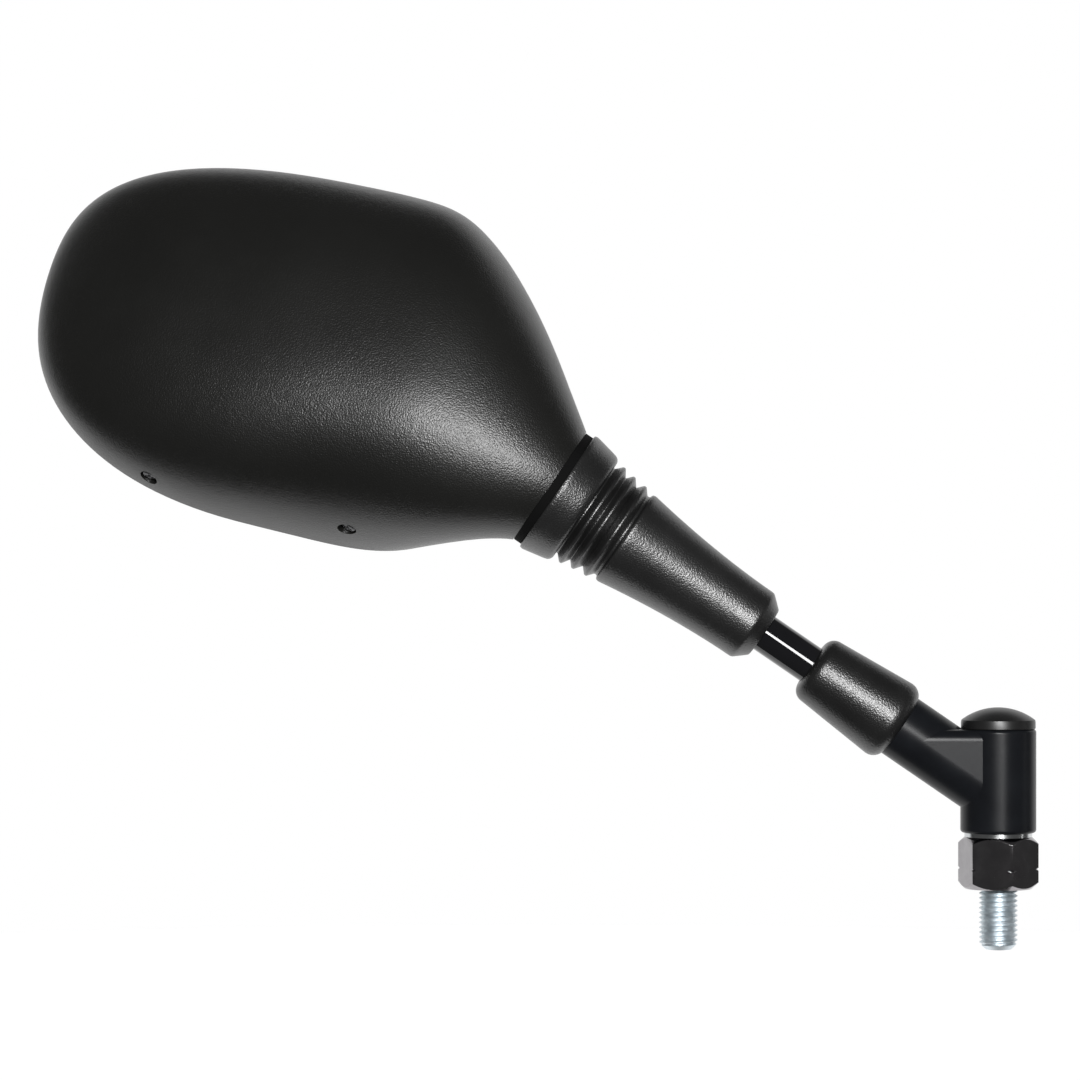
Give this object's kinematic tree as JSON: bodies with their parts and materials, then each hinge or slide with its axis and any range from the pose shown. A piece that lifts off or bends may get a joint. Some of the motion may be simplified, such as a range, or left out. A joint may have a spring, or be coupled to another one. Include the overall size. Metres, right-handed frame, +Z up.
{
  "type": "motorcycle mirror",
  "caption": "Motorcycle mirror with an egg-shaped moulded housing, rubber bellows over a ball joint, round stem, swivelling cast base and a threaded mounting stud.",
  "frame": {"origin": "on the stud axis at the underside of the lock nut, where the vehicle's bracket sits", "axes": "+Z up along the stud towards the cap, +X from the head towards the mount, -Y out of the back of the head, so the glass faces +Y"},
  "size_m": [0.2594, 0.0632, 0.2032],
  "materials": {
    "zinc_plated_steel": "bright bluish zinc",
    "spring_steel": "oiled",
    "black_steel": "black zinc, semi-gloss",
    "black_casting": "semi-gloss black paint",
    "black_cap": "satin",
    "gloss_black_rod": "gloss black paint",
    "grained_rubber": "fine grain",
    "white_nylon": "natural",
    "black_nylon": "moulded, satin",
    "screw_steel": "black oxide",
    "grained_black_plastic": "fine moulded grain",
    "grey_foam": "closed-cell foam",
    "mirror_glass": "silvered convex glass"
  },
  "bodies": {
    "mount": {"pivot_bolt": "zinc_plated_steel", "lock_nut": "black_steel", "shoulder_nut": "black_steel", "seat_washer": "zinc_plated_steel", "thrust_washer": "zinc_plated_steel", "disc_springs": "spring_steel"},
    "arm": {"base_arm": "black_casting", "dome_cap": "black_cap", "stem_rod": "gloss_black_rod", "stem_lock_nut": "black_steel", "stem_boot": "grained_rubber", "gaiter": "grained_rubber"},
    "seat_low": {"lower_seat": "white_nylon"},
    "seat_high": {"upper_seat": "white_nylon"},
    "head": {"socket_body": "black_nylon", "pressure_cup": "white_nylon", "cup_spring": "spring_steel", "retaining_plug": "black_steel", "socket_screws": "screw_steel", "housing": "grained_black_plastic", "glass_tray": "black_nylon", "foam_pad": "grey_foam", "mirror_glass": "mirror_glass", "tray_screws": "screw_steel"}
  },
  "joints": [
    {"name": "arm_swivel", "type": "hinge", "parent": "mount", "child": "arm", "pos_m": [0, 0, 0.0244], "axis": [0, 0, 1], "continuous": true},
    {"name": "head_pan", "type": "hinge", "parent": "arm", "child": "seat_low", "pos_m": [-0.10891, 0, 0.09898], "axis": [0.565, 0, 0.8251], "range_deg": [-15, 15], "deforming": ["gaiter"]},
    {"name": "head_roll", "type": "hinge", "parent": "seat_low", "child": "seat_high", "pos_m": [-0.10891, 0, 0.09898], "axis": [0, 1, 0], "range_deg": [-12, 12], "deforming": ["gaiter"]},
    {"name": "head_twist", "type": "hinge", "parent": "seat_high", "child": "head", "pos_m": [-0.10891, 0, 0.09898], "axis": [-0.8251, 0, 0.565], "range_deg": [-20, 20], "deforming": ["gaiter"]}
  ]
}
